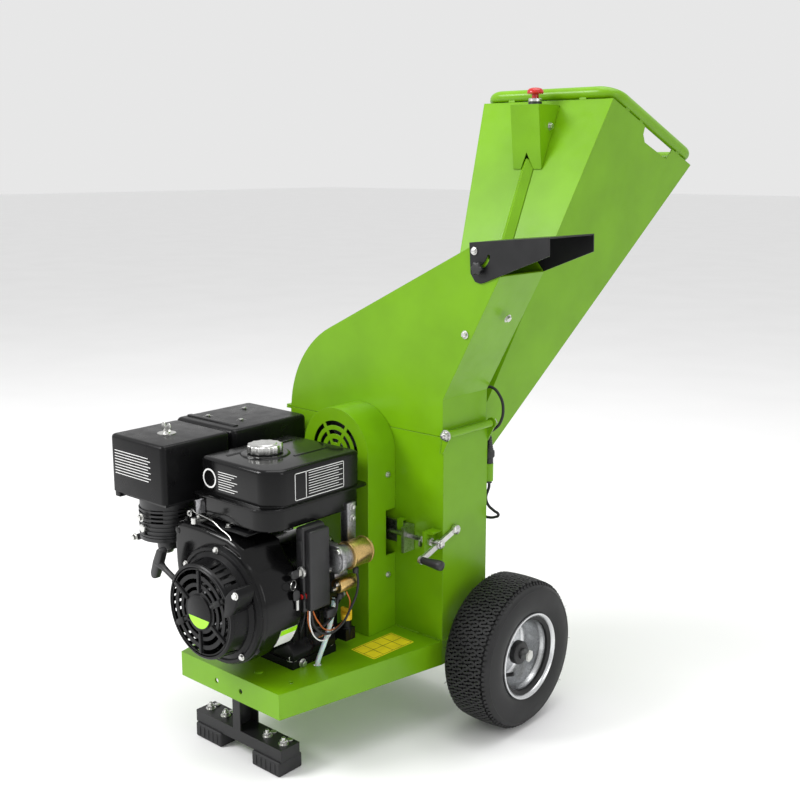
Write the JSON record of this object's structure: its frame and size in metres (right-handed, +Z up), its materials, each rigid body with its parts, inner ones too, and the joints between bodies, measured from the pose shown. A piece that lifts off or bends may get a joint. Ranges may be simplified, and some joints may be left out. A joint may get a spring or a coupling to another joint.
{
  "type": "wood chipper",
  "caption": "Petrol disc chipper on two wheels and a foot stand: rear feed hopper with stop button, belt driven rotor housing that hinges open, and a tall chute with a tilting deflector.",
  "frame": {"origin": "on the ground, under the middle of the whole machine's box", "axes": "+X across the machine towards the discharge chute, +Y from the engine to the feed hopper, +Z up"},
  "size_m": [0.878, 1.3598, 1.3886],
  "materials": {
    "green_paint": "gloss powder coat",
    "black_paint": "satin powder coat",
    "engine_black": "textured black paint",
    "plated_steel": "zinc plated",
    "rim_silver": "silver paint",
    "bare_steel": "ground steel",
    "cast_iron": "as cast",
    "cast_alloy": "sand cast",
    "tyre_rubber": "matt",
    "rubber": "matt",
    "black_plastic": "fine grain",
    "red_plastic": "gloss",
    "gold_zinc": "yellow zinc",
    "yellow_plastic": "gloss",
    "white_hose": "translucent",
    "heat_steel": "heat stained"
  },
  "bodies": {
    "frame": {"deck": "green_paint", "stand": "black_paint", "foot_pads": "rubber", "frame_bolts": "plated_steel", "axle": "plated_steel", "lower_housing": "green_paint", "scroll_liner": "bare_steel", "hinge_bolt": "plated_steel", "belt_guard": "green_paint", "rotor_bearings": "cast_iron", "bed_knife": "bare_steel", "drive_belts": "rubber", "tension_bracket": "green_paint", "hopper": "green_paint", "hopper_rim": "green_paint", "switch_box": "green_paint", "estop_base": "black_plastic", "cable_cover": "green_paint", "cable_connector": "black_plastic", "switch_cable": "rubber", "crankcase": "engine_black", "cylinder": "cast_alloy", "fan_shroud": "engine_black", "recoil_cover": "engine_black", "muffler": "heat_steel", "muffler_guard": "engine_black", "air_filter_base": "black_plastic", "air_filter_cover": "engine_black", "carburettor": "cast_alloy", "fuel_tank": "engine_black", "starter_motor": "gold_zinc", "control_box": "black_plastic", "drain_hose": "white_hose", "wiring_loom": "rubber"},
    "wheel_right": {"rim_right": "rim_silver", "tyre_right": "tyre_rubber"},
    "wheel_left": {"rim_left": "rim_silver", "tyre_left": "tyre_rubber"},
    "rotor": {"rotor_shaft": "bare_steel", "rotor_disc": "bare_steel", "rotor_knives": "bare_steel", "rotor_pulley": "cast_iron"},
    "crank_train": {"crankshaft": "bare_steel", "crank_pulley": "cast_iron"},
    "cover": {"upper_housing": "green_paint", "cover_bolts": "plated_steel"},
    "deflector": {"deflector": "black_paint"},
    "clamp_knob": {"clamp_knob": "black_plastic"},
    "tension_arm": {"tension_arm": "plated_steel"},
    "idler": {"idler": "cast_iron"},
    "tension_crank": {"tension_crank": "plated_steel"},
    "crank_grip": {"crank_grip": "black_plastic"},
    "estop_button": {"estop_button": "red_plastic"},
    "recoil_handle": {"recoil_handle": "black_plastic"},
    "fuel_cap": {"fuel_cap": "plated_steel"},
    "ignition_key": {"ignition_key": "plated_steel"},
    "reset_button": {"reset_button": "red_plastic"},
    "dipstick": {"dipstick": "yellow_plastic"},
    "throttle_lever": {"throttle_lever": "plated_steel"}
  },
  "joints": [
    {"name": "right_wheel_spin", "type": "hinge", "parent": "frame", "child": "wheel_right", "pos_m": [0.278, -0.08994, 0.165], "axis": [1, 0, 0], "continuous": true},
    {"name": "left_wheel_spin", "type": "hinge", "parent": "frame", "child": "wheel_left", "pos_m": [-0.376, -0.08994, 0.165], "axis": [1, 0, 0], "continuous": true},
    {"name": "rotor_spin", "type": "hinge", "parent": "frame", "child": "rotor", "pos_m": [-0.049, -0.13294, 0.598], "axis": [0, 1, 0], "continuous": true},
    {"name": "crank_spin", "type": "hinge", "parent": "frame", "child": "crank_train", "pos_m": [-0.049, -0.41294, 0.345], "axis": [0, 1, 0], "continuous": true},
    {"name": "cover_hinge", "type": "hinge", "parent": "frame", "child": "cover", "pos_m": [0.194, -0.12994, 0.657], "axis": [0, 1, 0], "range_deg": [0, 95]},
    {"name": "deflector_hinge", "type": "hinge", "parent": "cover", "child": "deflector", "pos_m": [0.262, -0.12994, 1.045], "axis": [0, 1, 0], "range_deg": [-10, 46]},
    {"name": "clamp_knob_turn", "type": "hinge", "parent": "cover", "child": "clamp_knob", "pos_m": [0.276, -0.21794, 1.012], "axis": [0, 1, 0], "range_deg": [-720, 0]},
    {"name": "belt_tension", "type": "slide", "parent": "frame", "child": "tension_arm", "axis": [1, 0, 0], "range_m": [-0.008, 0]},
    {"name": "idler_spin", "type": "hinge", "parent": "tension_arm", "child": "idler", "pos_m": [-0.021, -0.25294, 0.416], "axis": [0, 1, 0], "continuous": true},
    {"name": "tension_crank_turn", "type": "hinge", "parent": "frame", "child": "tension_crank", "pos_m": [0.171, -0.22494, 0.422], "axis": [1, 0, 0], "range_deg": [-1800, 0]},
    {"name": "grip_spin", "type": "hinge", "parent": "tension_crank", "child": "crank_grip", "pos_m": [0.211, -0.28294, 0.402], "axis": [1, 0, 0], "continuous": true},
    {"name": "emergency_stop_press", "type": "slide", "parent": "frame", "child": "estop_button", "axis": [0, 0, -1], "range_m": [0, 0.006], "stiffness_N_per_m": 250},
    {"name": "recoil_pull", "type": "slide", "parent": "frame", "child": "recoil_handle", "axis": [-0.9171, 0, 0.3987], "range_m": [0, 0.5], "stiffness_N_per_m": 12, "springref_m": -0.3},
    {"name": "fuel_cap_turn", "type": "hinge", "parent": "frame", "child": "fuel_cap", "pos_m": [-0.061, -0.48694, 0.64], "axis": [0, 0, 1], "range_deg": [0, 90]},
    {"name": "key_turn", "type": "hinge", "parent": "frame", "child": "ignition_key", "pos_m": [0.073, -0.51094, 0.412], "axis": [0, 1, 0], "range_deg": [0, 80]},
    {"name": "reset_press", "type": "slide", "parent": "frame", "child": "reset_button", "axis": [0, 1, 0], "range_m": [0, 0.003], "stiffness_N_per_m": 200},
    {"name": "dipstick_turn", "type": "hinge", "parent": "frame", "child": "dipstick", "pos_m": [0.049, -0.36494, 0.262], "axis": [0, 0, 1], "range_deg": [0, 180]},
    {"name": "throttle_swing", "type": "hinge", "parent": "frame", "child": "throttle_lever", "pos_m": [-0.119, -0.57294, 0.501], "axis": [0, 0, 1], "range_deg": [-35, 0]}
  ],
  "couplings": [
    {"joint": "crank_spin", "follows": "rotor_spin", "ratio": 1.8889},
    {"joint": "belt_tension", "follows": "tension_crank_turn", "m_per_rad": 0.00023873}
  ]
}
